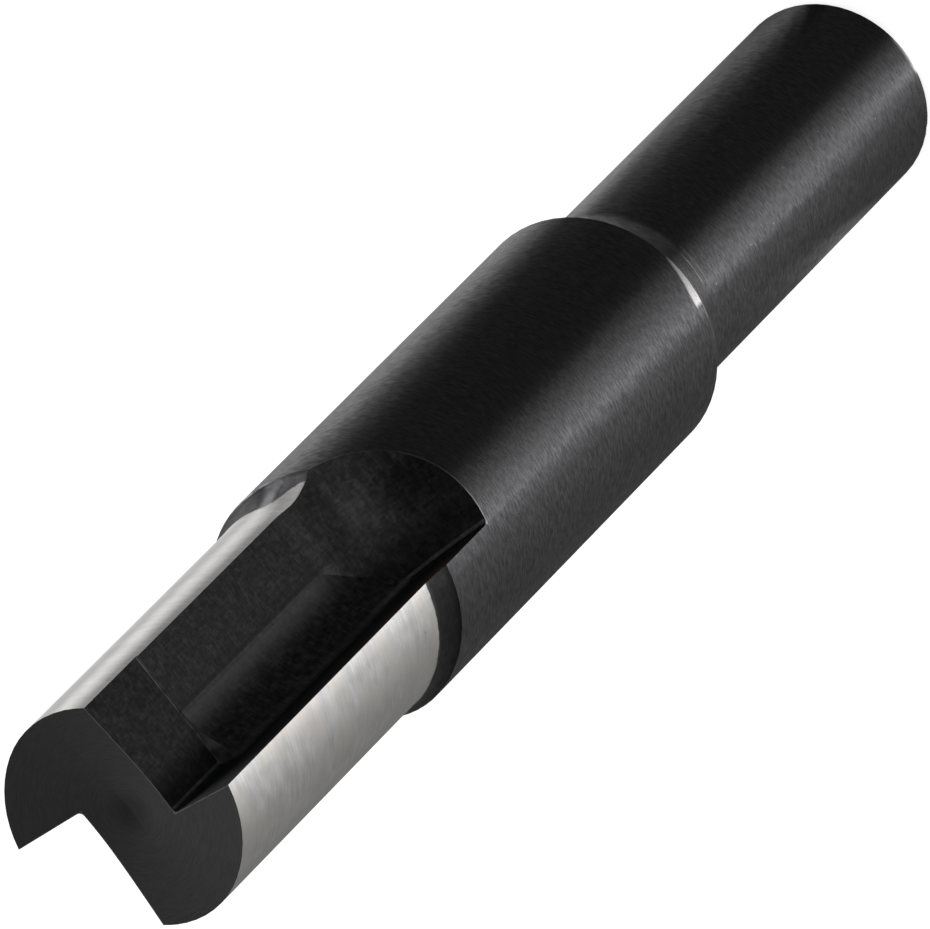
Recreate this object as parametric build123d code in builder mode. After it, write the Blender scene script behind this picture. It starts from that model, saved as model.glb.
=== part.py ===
from build123d import *
import os
from math import cos, radians, sin, tan

# Two-flute wood milling cutter, one piece of steel.
# The part stands on its shank end at Z = 0 and its cutting end points up.
# Flute 1 opens towards -Y. Flute 2 is the same form half a turn on.
# Sizes are in millimetres and degrees.

# Shank
shank_radius = 8.0
shank_length = 40.1
shank_end_rounding = 0.6

# Body
body_radius = 10.0
root_radius = 8.0
body_rim_rounding = 0.8

# Lands of the cutting part
overall_length = 128.4
land_radius = 9.35
land_start = 94.5
land_fillet = 5.75
relief_start_angle = 29.5
relief_radius = 7.7

# Dished end face
dish_angle = 8.0

# Flutes, with a hollow in the floor, and a gash next to the end face where the web is thinnest
flute_count = 2
web_half = 3.23
rake_offset = 1.95
rake_angle = 3.8
flute_corner_radius = 0.4
flute_end = 96.2
run_out_radius = 13.6
hollow_radius = 8.7
hollow_axis = 3.3
hollow_depth = 0.02
gash_start = 119.6
gash_depth = 0.08

# Room past the steel for the cutting forms
clearance = 4.0

flute_spacing = 360 / flute_count
relief_centre = land_radius - relief_radius
form_outside = land_radius + land_fillet + clearance
form_top = overall_length + clearance

# The turned blank: shank, hollow root, body, and an end face dished to a shallow cone.
# The cone meets the lands at the overall length, so it stands a little higher at the body's radius.
root_step = body_radius - shank_radius
body_start = shank_length + (root_radius**2 - (root_radius - root_step) ** 2) ** 0.5
dish_centre = overall_length - land_radius * tan(radians(dish_angle))
dish_rim = overall_length + (body_radius - land_radius) * tan(radians(dish_angle))

with BuildPart() as blank:
    with BuildSketch(Plane.XZ) as blank_section:
        with BuildLine():
            Polyline((shank_radius, shank_length), (shank_radius, 0), (0, 0), (0, dish_centre))
            Polyline((0, dish_centre), (body_radius, dish_rim), (body_radius, body_start))
            RadiusArc((body_radius, body_start), (shank_radius, shank_length), -root_radius)
        make_face()
        outer_corners = blank_section.vertices().group_by(Axis.Y)
        fillet(outer_corners[0].sort_by(Axis.X)[-1], shank_end_rounding)
        fillet(outer_corners[2].sort_by(Axis.X)[-1], body_rim_rounding)
    revolve(axis=Axis.Z)


def radial_plane(centre, angle):
    """Upright plane through a vertical axis: its x runs outwards, its y runs up."""
    outwards = (cos(radians(angle)), sin(radians(angle)), 0)
    return Plane(origin=centre, x_dir=outwards, z_dir=(outwards[1], -outwards[0], 0))


def land_form_section(plane, radius):
    """What is ground away outside a land of this radius, with the concave fillet up to the body."""
    with BuildSketch(plane) as section:
        with BuildLine():
            Line((radius, form_top), (radius, land_start))
            CenterArc((radius + land_fillet, land_start), land_fillet, 180, 90)
            Polyline(
                (radius + land_fillet, land_start - land_fillet),
                (form_outside, land_start - land_fillet),
                (form_outside, form_top),
                (radius, form_top),
            )
        make_face()
    return section.sketch


# The land of each lobe follows the full radius, then the smaller relief radius down to its heel.
# Both arcs are tangent where the relief starts, so they share one section there.
relief_axis_point = (
    relief_centre * cos(radians(relief_start_angle)),
    relief_centre * sin(radians(relief_start_angle)),
    0,
)

with BuildPart() as land_form:
    add(land_form_section(radial_plane((0, 0, 0), relief_start_angle), land_radius))
    revolve(axis=Axis.Z, revolution_arc=flute_spacing / 2 + 5)
    add(land_form_section(radial_plane(relief_axis_point, relief_start_angle), relief_radius))
    revolve(axis=Axis(relief_axis_point, (0, 0, -1)), revolution_arc=flute_spacing / 2)

# The rake face of flute 1 leans back, and both of its forms end at it.
rake_plane = Plane(
    origin=(-rake_offset, -web_half, 0),
    x_dir=(-sin(radians(rake_angle)), -cos(radians(rake_angle)), 0),
    z_dir=(cos(radians(rake_angle)), -sin(radians(rake_angle)), 0),
)


def rake_face(form):
    """The face of a form that lies in the rake plane."""
    return form.faces().sort_by(lambda face: abs(rake_plane.to_local_coords(face.center()).Z))[0]


# The form of the flute: a floor that hollows up to the rake face and runs out in an arc.
# The hollow dips a hair under the flat of the floor, so it starts at a faint edge.
floor_level = -web_half - gash_depth
form_level = floor_level - run_out_radius

with BuildPart() as flute_form:
    with BuildSketch(Plane.YZ):
        with BuildLine():
            Line((floor_level, form_top), (floor_level, flute_end))
            CenterArc((form_level, flute_end), run_out_radius, 0, -90)
            Polyline(
                (form_level, flute_end - run_out_radius),
                (form_level, form_top),
                (floor_level, form_top),
            )
        make_face()
    extrude(amount=form_outside, both=True)
    with BuildSketch():
        with BuildLine():
            hollow_centre = (hollow_axis, floor_level + hollow_depth - hollow_radius)
            hollow = CenterArc(hollow_centre, hollow_radius, 90, 90)
            Polyline(
                hollow @ 1,
                ((hollow @ 1).X, form_level),
                (form_outside, form_level),
                (form_outside, 0),
                (hollow_axis, 0),
                hollow @ 0,
            )
        make_face()
    extrude(amount=form_top, mode=Mode.INTERSECT)
    split(bisect_by=rake_plane, keep=Keep.TOP)
    fillet(rake_face(flute_form).edges().sort_by(Axis.Y)[-2:], flute_corner_radius)

# The form of the gash: next to the end face the flute is cut a little deeper, flat into its corner.
with BuildPart() as gash_form:
    with BuildSketch(Plane.XY.offset(gash_start)):
        with Locations((0, (form_level - web_half) / 2)):
            Rectangle(2 * form_outside, -web_half - form_level)
    extrude(amount=form_top - gash_start)
    split(bisect_by=rake_plane, keep=Keep.TOP)
    fillet(rake_face(gash_form).edges().sort_by(Axis.Y)[-1:], flute_corner_radius)

with BuildPart() as cutter:
    add(blank.part)
    with PolarLocations(0, flute_count):
        add(land_form.part, mode=Mode.SUBTRACT)
        add(flute_form.part, mode=Mode.SUBTRACT)
        add(gash_form.part, mode=Mode.SUBTRACT)

cutter.part.label = "cutter"

os.makedirs("parts", exist_ok=True)
export_step(cutter.part, "parts/cutter.step")
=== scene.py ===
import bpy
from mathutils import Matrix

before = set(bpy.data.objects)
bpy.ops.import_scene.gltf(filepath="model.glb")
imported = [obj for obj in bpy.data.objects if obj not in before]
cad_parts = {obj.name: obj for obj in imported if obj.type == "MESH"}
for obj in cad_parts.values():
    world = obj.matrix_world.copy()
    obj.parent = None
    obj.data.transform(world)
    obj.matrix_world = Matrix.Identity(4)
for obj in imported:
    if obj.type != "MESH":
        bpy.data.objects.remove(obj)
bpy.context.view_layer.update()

from math import cos, pi, radians, sin, tan

import bmesh
import bpy
from bpy.props import FloatProperty, FloatVectorProperty, PointerProperty

bl_info = {
    "name": "Wood milling cutter",
    "version": (1, 0, 0),
    "blender": (4, 5, 0),
    "location": "View3D > Sidebar > Cutter",
    "description": "Steel finishes, studio and camera for a two-flute wood milling cutter",
    "category": "Object",
}

# Sizes of the cutter that its finishes follow, in millimetres.
# One lobe points along +X and the other is its half-turn.
SHANK_RADIUS = 8.0
SHANK_LENGTH = 40.1
BODY_START = 45.3
FLUTE_LOW = 80.0
FILLET_LOW = 89.5
LAND_START = 94.5
LAND_RADIUS = 9.35
GASH_START = 119.6
END_FACE_LOW = 125.0
WEB_HALF = 3.23
HOLLOW_EDGE = 3.02
RAKE_OFFSET = 1.95
RAKE_SLOPE = tan(radians(3.8))
RUN_OUT_DEPTH, RUN_OUT_HEIGHT, RUN_OUT_RADIUS = 16.91, 96.2, 13.6

# The side of the turned parts where highlights are painted, in degrees round the axis.
HIGHLIGHT_FROM, HIGHLIGHT_TO = 255.5, 283.0

# How far each light place goes towards bright steel, from 0 to 1: the rim and the root lines are painted
# highlights, the tip and the gash step partly wear and partly painted highlights.
RIM_HIGHLIGHT, WORN_TIP, ROOT_LINE_HIGHLIGHT, WORN_GASH = 0.75, 0.5, 0.4, 0.2

# Where the camera stands, in metres, and how it is turned, in degrees.
CAMERA_PLACE = (0.1220615, -0.8048151, 1.2071853)
CAMERA_TURN = (-26.95759, 24.11880, -132.61982)
SENSOR_WIDTH = 36

# The floor lies this far below the cutter's foot, in metres.
FLOOR_GAP = 0.00005


def colour(name, description, default):
    return FloatVectorProperty(
        name=name, description=description, default=default, size=3, min=0.0, max=1.0, subtype="COLOR"
    )


def factor(name, description, default, high=1.0):
    return FloatProperty(name=name, description=description, default=default, min=0.0, max=high)


class CutterFinish(bpy.types.PropertyGroup):
    """Colours and surface quality of the steel."""

    oxide: colour("Blackened steel", "Turned steel with a black oxide finish", (0.075, 0.075, 0.078))
    # The worn colour also paints the light lines along edges, partly wear and partly painted highlights.
    worn: colour("Worn edge", "Steel where an edge has lost its black finish", (0.3, 0.3, 0.3))
    land: colour("Ground land", "Bright steel where the lands are ground", (0.61, 0.603, 0.592))
    flute: colour("Flute", "Blackened steel in the milled flutes", (0.012, 0.012, 0.0125))
    end_face: colour("End face", "Blackened steel of the dished end", (0.07, 0.07, 0.07))
    stain: colour("Stain", "Faint brown stain on the ground lands", (0.62, 0.585, 0.545))
    brown: colour("Brown finish", "Brownish finish at the rake face's outer edge", (0.024, 0.014, 0.009))
    oxide_roughness: factor("Blackened roughness", "Roughness of the turned surfaces", 0.34)
    land_roughness: factor("Land roughness", "Roughness of the ground lands", 0.3)
    flute_roughness: factor("Flute roughness", "Roughness in the flutes", 0.55)
    anisotropy: factor("Anisotropy", "How far the machining marks spread a highlight", 1.0)
    mark_depth: FloatProperty(
        name="Mark depth",
        description="Depth of the turning and grinding marks",
        default=0.00001,
        min=0.0,
        max=0.0001,
        unit="LENGTH",
        precision=6,
    )


class CutterStudio(bpy.types.PropertyGroup):
    """Floor, light and camera."""

    floor: colour("Floor", "Pale floor that the cutter stands on", (0.8, 0.8, 0.8))
    floor_radius: FloatProperty(
        name="Floor radius", description="Radius of the round floor", default=4.0, min=0.5, unit="LENGTH"
    )
    floor_glow: FloatProperty(
        name="Floor glow", description="How much white the floor adds to the picture", default=0.75, min=0.0
    )
    surround: FloatProperty(
        name="Surround", description="Brightness of the soft light from all sides", default=0.5, min=0.0
    )
    back: FloatProperty(
        name="Back softbox", description="Brightness of the back softbox", default=0.6, min=0.0
    )
    lens: FloatProperty(
        name="Lens", description="Focal length for a 36 mm wide picture", default=736.56, min=1.0
    )


class Nodes:
    """Short calls for one material's or world's node tree."""

    def __init__(self, tree):
        self.tree = tree
        tree.nodes.clear()

    def add(self, kind, inputs=None, **settings):
        node = self.tree.nodes.new(kind)
        for name, value in settings.items():
            setattr(node, name, value)
        for name, value in (inputs or {}).items():
            self.put(node.inputs[name], value)
        return node

    def put(self, socket, value):
        if isinstance(value, bpy.types.NodeSocket):
            self.tree.links.new(value, socket)
        elif isinstance(value, tuple) and len(value) == 3 and socket.type == "RGBA":
            socket.default_value = (*value, 1.0)
        else:
            socket.default_value = value

    def math(self, operation, *values):
        return self.add("ShaderNodeMath", dict(enumerate(values)), operation=operation).outputs[0]

    def vector(self, operation, *values, output=0):
        inputs = dict(enumerate(values))
        return self.add("ShaderNodeVectorMath", inputs, operation=operation).outputs[output]

    def combined(self, x, y, z):
        return self.add("ShaderNodeCombineXYZ", {0: x, 1: y, 2: z}).outputs[0]

    def scaled(self, position, x, y, z):
        return self.vector("MULTIPLY", position, (x, y, z))

    def ramp(self, value, start, end, low=0.0, high=1.0):
        """low below start, high above end, smooth between."""
        inputs = {"Value": value, "From Min": start, "From Max": end, "To Min": low, "To Max": high}
        return self.add("ShaderNodeMapRange", inputs, interpolation_type="SMOOTHSTEP").outputs["Result"]

    def both(self, first, second):
        return self.math("MULTIPLY", first, second)

    def either(self, first, second):
        return self.math("MAXIMUM", first, second)

    def sum(self, first, second):
        return self.math("ADD", first, second)

    def less(self, value, other):
        return self.math("SUBTRACT", value, other)

    def inverse(self, share):
        return self.less(1.0, share)

    def line(self, distance, half_width, fade):
        """1 within half_width of distance 0, and 0 beyond the fade."""
        return self.ramp(self.math("ABSOLUTE", distance), half_width, half_width + fade, 1.0, 0.0)

    def around(self, value, centre, half_width, fade):
        """1 within half_width of the centre, and 0 beyond the fade."""
        return self.line(self.less(value, centre), half_width, fade)

    def between(self, value, low, high, fade):
        """0 below low and above high, and 1 between them past the fade."""
        return self.both(self.ramp(value, low, low + fade), self.ramp(value, high, high - fade))

    def swing(self, pattern, low, high, reach=0.2):
        """A noise pattern as a tone from low to high, reached that far from the pattern's middle."""
        return self.ramp(pattern, 0.5 - reach, 0.5 + reach, low, high)

    def dots(self, position, size, share):
        """Round dots in that share of the cells of a flat pattern."""
        inputs = {"Vector": position, "Scale": 1.0}
        cell = self.add("ShaderNodeTexVoronoi", inputs, voronoi_dimensions="2D").outputs
        draw = self.add("ShaderNodeSeparateColor", {0: cell["Color"]}).outputs[0]
        round_dot = self.ramp(cell["Distance"], size * 0.5, size, 1.0, 0.0)
        return self.both(self.math("GREATER_THAN", draw, 1.0 - share), round_dot)

    def noise(self, position, detail=3.0, roughness=0.5):
        inputs = {"Vector": position, "Scale": 1.0, "Detail": detail, "Roughness": roughness}
        return self.add("ShaderNodeTexNoise", inputs).outputs["Fac"]

    def mix(self, share, first, second):
        return self.add("ShaderNodeMix", {"Factor": share, "A": first, "B": second}).outputs["Result"]

    def mix_vector(self, share, first, second):
        node = self.add("ShaderNodeMix", data_type="VECTOR")
        for socket, value in zip((node.inputs[0], node.inputs[4], node.inputs[5]), (share, first, second)):
            self.put(socket, value)
        return node.outputs[1]

    def mix_colour(self, share, first, second):
        node = self.add("ShaderNodeMix", data_type="RGBA")
        for socket, value in zip((node.inputs[0], node.inputs[6], node.inputs[7]), (share, first, second)):
            self.put(socket, value)
        return node.outputs[2]


class Surface:
    """Where a point of the cutter lies, in millimetres and degrees, and in which zones."""

    def __init__(self, n):
        place = n.add("ShaderNodeTexCoord")
        normal = place.outputs["Normal"]
        self.mm = n.scaled(place.outputs["Object"], 1000, 1000, 1000)
        self.x, self.y, self.z = n.add("ShaderNodeSeparateXYZ", {0: self.mm}).outputs
        flat = n.scaled(self.mm, 1, 1, 0)
        self.radius = n.vector("LENGTH", flat, output=1)
        self.up = n.add("ShaderNodeSeparateXYZ", {0: normal}).outputs[2]
        outward = n.vector("DOT_PRODUCT", normal, n.vector("NORMALIZE", flat), output=1)
        angle = n.math("ARCTAN2", self.y, self.x)
        azimuth = n.math("DEGREES", angle)
        self.lobe_angle = n.math("WRAP", azimuth, 90.0, -90.0)
        self.unrolled = n.combined(n.both(angle, LAND_RADIUS), self.z, 0.0)

        # Both flutes share these, because a half-turn takes one to the other.
        self.depth = n.math("ABSOLUTE", self.y)
        self.across = n.both(self.x, n.math("SIGN", n.both(self.y, -1.0)))
        self.from_floor = n.less(self.depth, WEB_HALF)
        leaning = n.sum(self.across, n.both(self.from_floor, RAKE_SLOPE))
        self.from_rake = n.sum(leaning, RAKE_OFFSET)
        arm = n.combined(n.less(self.depth, RUN_OUT_DEPTH), n.less(self.z, RUN_OUT_HEIGHT), 0.0)
        self.from_run_out = n.less(n.vector("LENGTH", arm, output=1), RUN_OUT_RADIUS)

        outside_web = n.ramp(self.radius, SHANK_RADIUS - 0.15, SHANK_RADIUS - 0.05)
        self.outer = n.both(n.ramp(outward, 0.73, 0.77), outside_web)
        self.end_face = n.both(n.ramp(self.up, 0.85, 0.9), n.ramp(self.z, END_FACE_LOW, END_FACE_LOW + 0.1))
        self.land = n.both(self.outer, n.ramp(self.past_land_start(n), -0.06, 0.06))
        self.full_land = n.ramp(self.lobe_angle, 22.0, 40.0)
        inside = n.inverse(n.either(self.outer, self.end_face))
        self.flute = n.both(n.ramp(self.z, FLUTE_LOW, FLUTE_LOW + 0.1), inside)
        concave = n.both(n.ramp(self.up, 0.03, 0.12), n.ramp(self.z, FILLET_LOW, FILLET_LOW + 0.5))
        self.fillet = n.both(n.both(self.outer, concave), n.inverse(self.land))
        self.gash = n.both(self.flute, n.ramp(self.z, GASH_START, GASH_START + 0.05))
        self.rake = n.both(self.flute, n.ramp(self.from_rake, 0.12, 0.05))
        self.find_painted_highlights(n, n.math("WRAP", azimuth, 430.0, 70.0))

    def past_land_start(self, n):
        """How far past the wavy start of the grinding, which drops towards the heel of the lobe."""
        drop = n.sum(
            n.ramp(self.lobe_angle, 28.0, 0.0, 0.0, 0.7), n.ramp(self.lobe_angle, -6.0, -28.0, 0.0, 2.4)
        )
        wobble = n.both(n.less(n.noise(n.scaled(self.mm, 1.5, 1.5, 0.6)), 0.5), 0.35)
        return n.sum(n.sum(n.less(self.z, LAND_START), drop), wobble)

    def find_painted_highlights(self, n, azimuth):
        """Painted highlights on the body's rim, the shank's end and the turning lines at the root, and the
        root band with its painted sheen.
        """
        # Only the lit side gets the painted highlights.
        lit_side = n.between(azimuth, HIGHLIGHT_FROM, HIGHLIGHT_TO, 3.0)
        rise = {"Value": azimuth, "From Min": 282.0, "From Max": 262.0, "To Min": 45.6, "To Max": 46.4}
        top = n.add("ShaderNodeMapRange", rise).outputs["Result"]
        crescent = n.ramp(self.z, BODY_START - 0.5, BODY_START - 0.1)
        crescent = n.both(crescent, n.ramp(n.less(self.z, top), 0.1, -0.25))
        thin = n.both(n.around(self.z, BODY_START, 0.1, 0.15), n.ramp(azimuth, 215.0, 245.0, 0.0, 0.2))
        shank_end = n.both(n.between(azimuth, 253.0, 281.0, 5.0), n.ramp(self.z, 0.9, 0.3))
        self.painted_highlights = n.either(n.either(n.both(lit_side, crescent), thin), shank_end)
        # The two turning lines at the root are painted light on the lit side: painted highlights.
        lower = n.around(self.z, SHANK_LENGTH + 0.25, 0.03, 0.06)
        upper = n.around(self.z, SHANK_LENGTH + 0.95, 0.08, 0.08)
        self.root_line_highlights = n.both(lit_side, n.either(lower, upper))
        # The root band is painted lighter towards one azimuth: a painted sheen.
        root_low = n.ramp(self.z, SHANK_LENGTH + 0.3, SHANK_LENGTH + 0.9)
        self.root = n.both(root_low, n.ramp(self.z, BODY_START, BODY_START - 0.2))
        self.root_sheen = n.ramp(azimuth, 278.0, 292.0, 0.8, 3.0)


class Marks:
    """Noise patterns of the machining marks, of dust and pits, and of the breakup of the light lines along
    edges, scaled in repeats per millimetre.
    """

    def __init__(self, n, at):
        # Turning marks run round the cutter, and the grinding marks of the lands do too.
        self.turned = n.noise(n.scaled(at.mm, 1.4, 1.4, 6.0), 4.0, 0.65)
        self.ground = n.noise(n.scaled(at.mm, 0.5, 0.5, 6.0), 4.0, 0.6)
        self.rings = n.noise(n.combined(at.x, at.y, n.both(at.radius, 12.0)), 3.0)
        upright = n.noise(n.scaled(at.mm, 3.4, 1.8, 1.2), 3.0, 0.65)
        level = n.noise(n.scaled(at.mm, 1.2, 1.8, 3.4), 3.0, 0.65)
        self.mottle = n.both(n.sum(upright, level), 0.5)
        self.flecks = n.noise(n.scaled(at.mm, 1.0, 1.0, 1.6), 2.0)
        self.blotches = n.noise(n.scaled(at.mm, 0.45, 0.45, 0.6), 3.0, 0.6)
        self.stains = n.ramp(n.noise(n.scaled(at.mm, 0.25, 0.25, 0.3)), 0.45, 0.6, 0.0, 0.6)
        self.edge_breakup = n.ramp(n.noise(n.scaled(at.mm, 1.1, 1.1, 1.1)), 0.35, 0.6, 0.35, 1.0)
        self.pits = n.dots(n.scaled(at.unrolled, 1.4, 1.4, 0), 0.14, 0.08)
        self.dust = n.dots(n.scaled(at.unrolled, 0.35, 0.35, 0), 0.045, 0.14)


def worn_and_highlit_edges(n, at, marks):
    """Thin light lines along edges: partly worn steel, partly painted highlights where an edge catches the
    light.
    """
    run_out = n.both(n.line(at.from_run_out, 0.05, 0.12), n.ramp(at.from_rake, -0.1, 0.0, 0.0, 0.6))
    run_out = n.both(n.both(run_out, at.outer), n.ramp(at.z, 93.0, 92.0))
    from_flute = n.math("MINIMUM", at.from_floor, at.from_rake)
    tip = n.both(n.both(n.line(from_flute, 0.02, 0.08), at.end_face), WORN_TIP)

    # The step of the gash has a foot in the floor and a narrow level wall, both painted light: a painted
    # highlight along the step.
    foot = n.both(n.around(at.z, GASH_START + 0.06, 0.04, 0.1), n.ramp(at.from_floor, 0.14, 0.08))
    foot = n.both(foot, n.ramp(at.across, 1.5, 6.5, 0.15, 0.4))
    wall = n.both(n.ramp(at.up, 0.8, 0.9), n.around(at.z, GASH_START, 0.05, 0.05))
    step = n.both(n.either(foot, n.both(wall, WORN_GASH)), at.flute)

    shoulder = n.both(n.both(at.fillet, n.ramp(at.radius, 9.87, 9.95)), n.ramp(at.lobe_angle, 20.0, 5.0))
    found = n.either(n.either(run_out, tip), n.either(shoulder, n.both(at.root_line_highlights, ROOT_LINE_HIGHLIGHT)))
    return n.both(n.either(found, step), marks.edge_breakup)


def outside_tone(n, at, marks):
    """Tone of the turned parts, the shoulders, the lands and the end face about their own colours, with
    painted light and shade on the body, the root, the shoulders and the lands.
    """
    # The body is painted a shade darker than the shank, which dims its highlight: painted shade.
    turned = n.both(n.swing(marks.turned, 0.7, 1.3), n.ramp(at.z, 44.0, 50.0, 1.0, 0.93))
    # Painted sheen on the root band.
    turned = n.mix(at.root, turned, n.both(turned, at.root_sheen))

    # The shoulder is painted lighter towards the heel of the lobe, painted light, with a painted glint next
    # to the land; elsewhere it is darker, more so towards its outer edge.
    heel = n.sum(
        n.ramp(at.lobe_angle, -4.0, -12.0, 0.8, 7.0), n.ramp(at.lobe_angle, -12.0, -24.0, 0.0, 16.0)
    )
    glint = n.both(n.around(at.lobe_angle, -10.0, 0.5, 3.5), n.ramp(at.radius, 9.6, 9.2, 0.0, 5.0))
    shoulder = n.both(n.ramp(at.radius, 9.7, 9.98, 0.42, 0.2), n.swing(marks.mottle, 0.8, 1.2))
    tone = n.mix(at.fillet, turned, n.both(shoulder, n.sum(heel, glint)))

    land = n.mix(at.full_land, n.swing(marks.blotches, 0.96, 1.04), n.swing(marks.blotches, 0.88, 1.08))
    land = n.both(land, n.swing(marks.ground, 0.89, 1.09))
    land = n.both(land, n.inverse(n.both(marks.pits, n.ramp(at.z, 104.0, 96.0, 0.0, 0.5))))
    # The lands are painted darker near the middle of the lobe and lighter towards its heel: painted light and
    # shade.
    relief_light_and_shade = n.sum(
        n.ramp(at.lobe_angle, 14.0, 0.0, 1.0, 0.55), n.ramp(at.lobe_angle, -2.0, -16.0, 0.0, 0.95)
    )
    tone = n.mix(at.land, tone, n.both(land, relief_light_and_shade))
    rings = n.both(n.swing(marks.rings, 0.9, 1.1, 0.25), n.ramp(at.radius, 0.4, 2.2, 0.72, 1.0))
    return n.mix(at.end_face, tone, rings)


def flute_tone(n, at, marks):
    """Tone of the flutes about their own colour, with painted light in the hollow, on a patch of the run-out
    and along the rake's corner, and the share of it that the painted shade takes away.
    """
    above = n.both(n.ramp(at.z, 92.5, 98.5), n.inverse(at.gash))
    # Painted light: the hollow is lighter towards its crease, and the crease itself is painted darker.
    hollow_light = n.both(n.ramp(at.across, 0.0, 2.5, 0.0, 5.6), n.ramp(at.across, 3.0, 2.4))
    crease_shade = n.both(n.around(at.across, HOLLOW_EDGE, 0.08, 0.2), above)
    floor = n.both(n.swing(marks.mottle, 0.0, 2.1, 0.14), n.swing(marks.flecks, 0.6, 1.4))
    floor = n.both(floor, n.inverse(n.both(crease_shade, 0.6)))
    # A painted lit patch on the run-out, and a painted highlight along the rake's corner, stronger towards
    # the run-out.
    lit_patch = n.both(n.around(at.across, 4.4, 0.6, 1.6), n.around(at.depth, 5.0, 0.3, 0.8))
    floor = n.sum(floor, n.both(lit_patch, 0.9))
    corner_highlight = n.around(at.from_rake, 0.28, 0.06, 0.16)
    floor = n.sum(floor, n.both(corner_highlight, n.ramp(at.z, 100.0, 92.0, 0.8, 3.0)))
    floor = n.sum(floor, n.both(hollow_light, above))
    tone = n.mix(at.rake, floor, n.swing(marks.mottle, 0.8, 1.5, 0.1))

    # Painted shade: the run-out is darker at its outer end, along its foot and next to the rake face, and the
    # gash is darker towards the rake face.
    run_out = n.both(n.ramp(at.depth, 5.7, 6.9), n.ramp(at.across, 6.2, 4.2, 0.0, 0.5))
    run_out = n.either(run_out, n.both(n.around(at.depth, 3.85, 0.3, 0.4), 0.35))
    run_out = n.either(run_out, n.ramp(at.across, 3.2, -0.8, 0.0, 0.72))
    run_out = n.both(n.both(run_out, n.ramp(at.up, 0.03, 0.1)), n.ramp(at.z, 95.5, 93.0))
    gash = n.both(at.gash, n.ramp(at.across, 2.0, -0.8, 0.22, 0.8))
    painted_shade = n.both(n.either(run_out, gash), n.inverse(n.either(at.rake, corner_highlight)))
    return tone, painted_shade


def roughness(n, at, marks, finish):
    """Roughness: the turning marks vary the black finish, and a land is duller towards its heel."""
    black = n.swing(marks.turned, finish.oxide_roughness + 0.06, finish.oxide_roughness - 0.06, 0.18)
    land = n.ramp(at.lobe_angle, -17.0, -25.0, finish.land_roughness, finish.land_roughness + 0.4)
    outside = n.mix(at.land, black, land)
    return n.mix(at.end_face, n.mix(at.flute, outside, finish.flute_roughness), finish.flute_roughness)


def steel(finish):
    """Steel of the whole cutter: blackened, with bright ground lands."""
    material = bpy.data.materials.new("Cutter_steel")
    material.use_nodes = True
    n = Nodes(material.node_tree)
    at = Surface(n)
    marks = Marks(n, at)
    in_flute, painted_shade = flute_tone(n, at, marks)
    # The painted shade in the flutes takes away its share of the tone.
    tone = n.mix(at.flute, outside_tone(n, at, marks), n.both(in_flute, n.inverse(painted_shade)))

    outer_rake = n.both(n.ramp(at.depth, 7.0, 8.2), n.around(at.z, 97.0, 4.0, 5.0))
    base = n.mix_colour(at.land, tuple(finish.oxide), tuple(finish.land))
    base = n.mix_colour(at.flute, base, tuple(finish.flute))
    base = n.mix_colour(n.both(at.rake, outer_rake), base, tuple(finish.brown))
    base = n.mix_colour(at.end_face, base, tuple(finish.end_face))
    base = n.vector("MULTIPLY", base, tone)
    # Light lines along edges: partly wear, partly painted highlights.
    base = n.mix_colour(worn_and_highlit_edges(n, at, marks), base, tuple(finish.worn))
    on_shank = n.ramp(at.z, 44.0, 42.0, 0.0, 0.35)
    base = n.mix_colour(n.both(marks.dust, on_shank), base, tuple(finish.worn))
    # Painted highlights: the rim's crescent, a thin line at the rim and an arc on the shank's end.
    base = n.mix_colour(n.both(at.painted_highlights, RIM_HIGHLIGHT), base, tuple(finish.land))
    stained = n.both(n.both(at.land, at.full_land), marks.stains)
    base = n.mix_colour(stained, base, tuple(finish.stain))

    # The heel of each land is chipped where it runs up to the body, and scatters the light.
    chipped = n.both(n.both(at.land, n.ramp(at.lobe_angle, -9.0, -15.0)), n.ramp(at.z, 97.0, 93.5, 0.0, 0.5))
    height = n.mix(at.land, n.sum(marks.turned, n.both(marks.flecks, 2.0)), marks.ground)
    height = n.mix(at.flute, n.mix(at.end_face, height, marks.rings), marks.mottle)
    bump = n.add("ShaderNodeBump", {"Strength": 1.0, "Distance": finish.mark_depth, "Height": height})
    around = n.add("ShaderNodeTangent", direction_type="RADIAL", axis="Z").outputs[0]
    shader = n.add(
        "ShaderNodeBsdfPrincipled",
        {
            "Base Color": base,
            # Where shade is painted in the flutes, the steel is also fully metallic.
            "Metallic": n.mix(at.flute, n.inverse(chipped), n.mix(painted_shade, 0.5, 1.0)),
            "Roughness": roughness(n, at, marks, finish),
            "Normal": bump.outputs[0],
            "Anisotropic": finish.anisotropy,
            "Anisotropic Rotation": 0.25,
            "Tangent": n.mix_vector(at.end_face, around, (0.0, 1.0, 0.0)),
        },
    )
    n.add("ShaderNodeOutputMaterial", {"Surface": shader.outputs[0]})
    return material


# Rings of the reflection tent, from the cutter's foot outwards. The sides give reach and height in
# metres. The bottom gives reach and a share: a ray that lands next to the foot left the cutter at
# another azimuth than one that lands far off, and this share of its turn from the view makes up for it.
TENT_FOOT = ((0.0076, 0.9), (0.0085, 0.85), (0.011, 0.6), (0.014, 0.4), (0.02, 0.18), (0.03, 0.0), (0.3, 0.0))
TENT_LIFT = 0.0001
TENT_TOP = 0.6
TENT_SIDES = ((0.4, 0.02), (0.5, 0.1), (0.5, 0.35), (0.35, TENT_TOP), (0.001, TENT_TOP))
TENT_STEPS = 180
TOP_LEVEL = 0.3
VIEW_AZIMUTH = -81.4

# The light band at the back is dimmer next to the foot.
BACK_BAND = (0, 95)
BACK_FADE = 0.8

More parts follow.
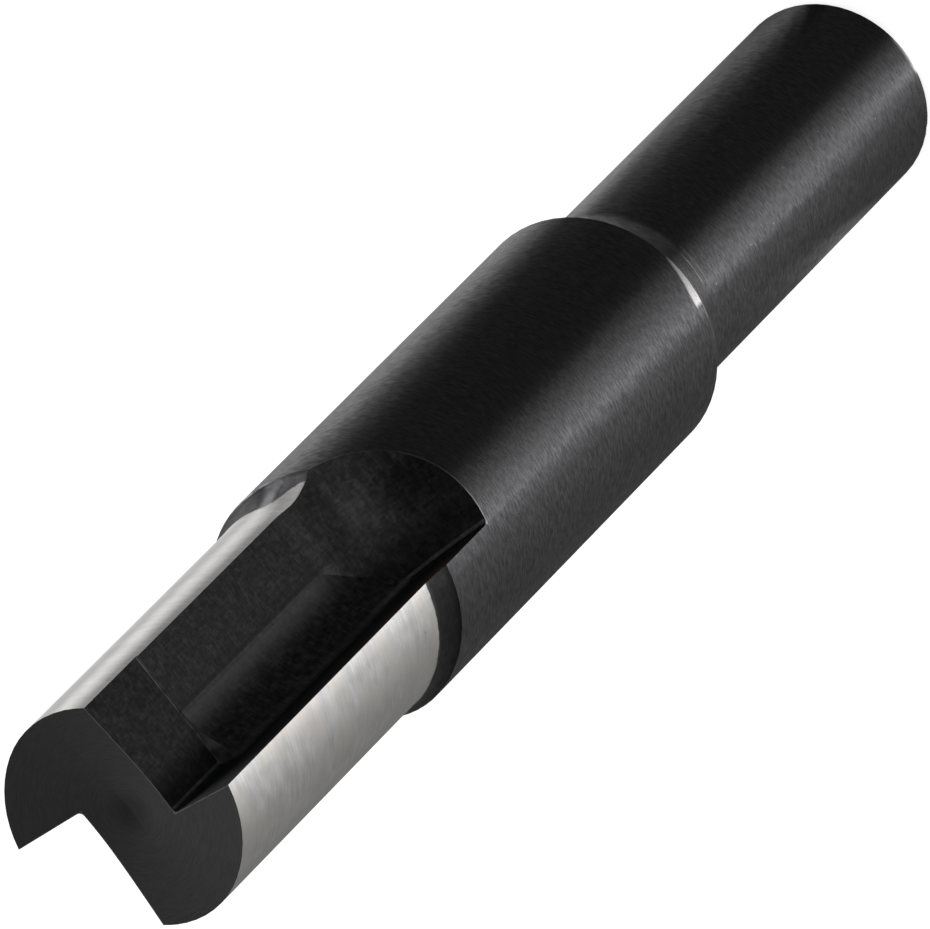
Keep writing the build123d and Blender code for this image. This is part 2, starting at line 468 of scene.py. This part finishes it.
# Brightness of the tent by azimuth in degrees: its wall, and its bottom round the cutter.
TENT_WALL = (
    (-180, 0.31),
    (-160, 0.36),
    (-143, 0.56),
    (-134, 0.86),
    (-118.5, 1.1),
    (-117, 5.6),
    (-107, 2.9),
    (-97, 1.6),
    (-88, 0.9),
    (-78, 0.2),
    (-70, 0.1),
    (0, 0.03),
    (5, 0.15),
    (9, 0.8),
    (18, 1.4),
    (33, 1.85),
    (45, 2.0),
    (85, 1.4),
    (92, 0.25),
    (161, 0.2),
    (180, 0.31),
)
TENT_BOTTOM = (
    (-180, 0.35),
    (-161, 0.48),
    (-149, 0.7),
    (-127.5, 1.0),
    (-125.5, 3.0),
    (-113, 1.5),
    (-101, 0.85),
    (-89, 0.5),
    (-77, 0.15),
    (-70, 0.1),
    (18, 0.1),
    (22, 0.7),
    (27, 1.4),
    (42, 1.6),
    (50, 1.0),
    (55, 0.7),
    (67, 0.45),
    (80, 0.3),
    (88, 0.25),
    (95, 0.2),
    (151, 0.25),
    (180, 0.35),
)


def band(table, azimuth):
    """Brightness at an azimuth, in a straight line between the table's entries."""
    for (low, first), (high, second) in zip(table, table[1:]):
        if low <= azimuth <= high:
            return first + (second - first) * (azimuth - low) / (high - low)
    raise ValueError(azimuth)


def tent_level(height, azimuth, turn):
    """Brightness of the tent at one point of a ring."""
    if height == TENT_TOP:
        return TOP_LEVEL
    seen = (azimuth + turn * (azimuth - VIEW_AZIMUTH) + 180) % 360 - 180
    level = band(TENT_BOTTOM if height == TENT_LIFT else TENT_WALL, seen)
    if BACK_BAND[0] < seen < BACK_BAND[1]:
        level *= 1 - BACK_FADE * turn
    return level


def mesh_object(name, shape):
    mesh = bpy.data.meshes.new(name)
    shape.to_mesh(mesh)
    shape.free()
    made = bpy.data.objects.new(name, mesh)
    bpy.context.scene.collection.objects.link(made)
    return made


def reflection_tent():
    """Glowing cards round the cutter that only reflections see, whose glow makes the highlights and dark
    bands in the steel.
    """
    profile = [(reach, TENT_LIFT, turn) for reach, turn in TENT_FOOT]
    profile += [(reach, height, 0.0) for reach, height in TENT_SIDES]
    shape = bmesh.new()
    glow = shape.verts.layers.float_color.new("glow")
    rings = []
    for reach, height, turn in profile:
        ring = []
        for step in range(TENT_STEPS):
            azimuth = -180 + 360 * step / TENT_STEPS
            angle = radians(azimuth)
            vertex = shape.verts.new((reach * cos(angle), reach * sin(angle), height))
            vertex[glow] = (*[tent_level(height, azimuth, turn)] * 3, 1.0)
            ring.append(vertex)
        rings.append(ring)
    for low, high in zip(rings, rings[1:]):
        for step in range(TENT_STEPS):
            after = (step + 1) % TENT_STEPS
            shape.faces.new((low[step], low[after], high[after], high[step]))
    tent = mesh_object("Reflection_tent", shape)
    material = bpy.data.materials.new("Tent_glow")
    material.use_nodes = True
    n = Nodes(material.node_tree)
    level = n.add("ShaderNodeAttribute", attribute_name="glow").outputs["Color"]
    n.add("ShaderNodeOutputMaterial", {0: n.add("ShaderNodeEmission", {"Color": level}).outputs[0]})
    tent.data.materials.append(material)
    tent.visible_camera = False
    tent.visible_diffuse = False
    tent.visible_transmission = False
    tent.visible_shadow = False


def white_to_the_eye(n, light):
    """1 for rays that see the background as white, and the given light for the rest."""
    path = n.add("ShaderNodeLightPath").outputs
    seen = n.either(n.either(path["Is Camera Ray"], path["Is Glossy Ray"]), path["Is Transmission Ray"])
    return n.mix(seen, light, 1.0)


def softbox(name, azimuth, reach, height, width, tall, level):
    """Upright lamp that faces the axis, with a light that holds whatever its size."""
    lamp = bpy.data.lights.new(name, "AREA")
    lamp.shape = "RECTANGLE"
    lamp.size, lamp.size_y = width, tall
    lamp.energy = level * width * tall * pi
    holder = bpy.data.objects.new(name, lamp)
    angle = radians(azimuth)
    holder.location = (reach * cos(angle), reach * sin(angle), height)
    holder.rotation_euler = (pi / 2, 0, angle + pi / 2)
    holder.visible_camera = False
    bpy.context.scene.collection.objects.link(holder)


class CUTTER_OT_dress_steel(bpy.types.Operator):
    """Give the cutter its blackened and ground steel"""

    bl_idname = "cutter.dress_steel"
    bl_label = "Dress the steel"

    def execute(self, context):
        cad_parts["cutter"].material_slots[0].material = steel(context.scene.cutter_finish)
        return {"FINISHED"}


class CUTTER_OT_build_studio(bpy.types.Operator):
    """Make the floor, the reflection tent, the softbox and the world"""

    bl_idname = "cutter.build_studio"
    bl_label = "Build the studio"

    def execute(self, context):
        studio = context.scene.cutter_studio
        bpy.ops.object.select_all(action="DESELECT")
        bpy.ops.mesh.primitive_circle_add(
            vertices=96, radius=studio.floor_radius, fill_type="NGON", location=(0, 0, -FLOOR_GAP)
        )
        floor = context.active_object
        floor.name = "Floor"
        material = bpy.data.materials.new("Pale_floor")
        material.use_nodes = True
        n = Nodes(material.node_tree)
        shader = n.add(
            "ShaderNodeBsdfPrincipled",
            {
                "Base Color": tuple(studio.floor),
                "Roughness": 0.9,
                "Specular IOR Level": 0.0,
                "Emission Color": (1.0, 1.0, 1.0),
                "Emission Strength": n.both(white_to_the_eye(n, 0.0), studio.floor_glow),
            },
        )
        n.add("ShaderNodeOutputMaterial", {0: shader.outputs[0]})
        floor.data.materials.append(material)
        reflection_tent()
        softbox("Back_softbox", azimuth=70, reach=0.8, height=0.4, width=0.6, tall=0.6, level=studio.back)

        world = bpy.data.worlds.new("Studio_world")
        context.scene.world = world
        world.use_nodes = True
        n = Nodes(world.node_tree)
        strength = white_to_the_eye(n, studio.surround)
        surround = n.add("ShaderNodeBackground", {"Color": (1.0, 1.0, 1.0), "Strength": strength})
        n.add("ShaderNodeOutputWorld", {0: surround.outputs[0]})
        context.scene.view_settings.view_transform = "Standard"
        return {"FINISHED"}


class CUTTER_OT_place_camera(bpy.types.Operator):
    """Place the camera that looks down on the cutting end"""

    bl_idname = "cutter.place_camera"
    bl_label = "Place the camera"

    def execute(self, context):
        eye = bpy.data.cameras.new("Camera")
        eye.sensor_width = SENSOR_WIDTH
        eye.lens = context.scene.cutter_studio.lens
        camera = bpy.data.objects.new("Camera", eye)
        camera.location = CAMERA_PLACE
        camera.rotation_euler = tuple(map(radians, CAMERA_TURN))
        context.scene.collection.objects.link(camera)
        context.scene.camera = camera
        return {"FINISHED"}


class CUTTER_PT_panel(bpy.types.Panel):
    """Steps and settings of the cutter"""

    bl_idname = "CUTTER_PT_panel"
    bl_label = "Wood milling cutter"
    bl_space_type = "VIEW_3D"
    bl_region_type = "UI"
    bl_category = "Cutter"

    def draw(self, context):
        for group in (context.scene.cutter_finish, context.scene.cutter_studio):
            column = self.layout.column()
            for name in group.__annotations__:
                column.prop(group, name)
        for step in STEPS:
            self.layout.operator(step.bl_idname)


STEPS = (CUTTER_OT_dress_steel, CUTTER_OT_build_studio, CUTTER_OT_place_camera)
CLASSES = (CutterFinish, CutterStudio, *STEPS, CUTTER_PT_panel)


def register():
    for made in CLASSES:
        bpy.utils.register_class(made)
    bpy.types.Scene.cutter_finish = PointerProperty(type=CutterFinish)
    bpy.types.Scene.cutter_studio = PointerProperty(type=CutterStudio)


def unregister():
    del bpy.types.Scene.cutter_studio
    del bpy.types.Scene.cutter_finish
    for made in reversed(CLASSES):
        bpy.utils.unregister_class(made)


def main():
    register()
    bpy.ops.cutter.dress_steel()
    bpy.ops.cutter.build_studio()
    bpy.ops.cutter.place_camera()


if __name__ == "__main__":
    main()
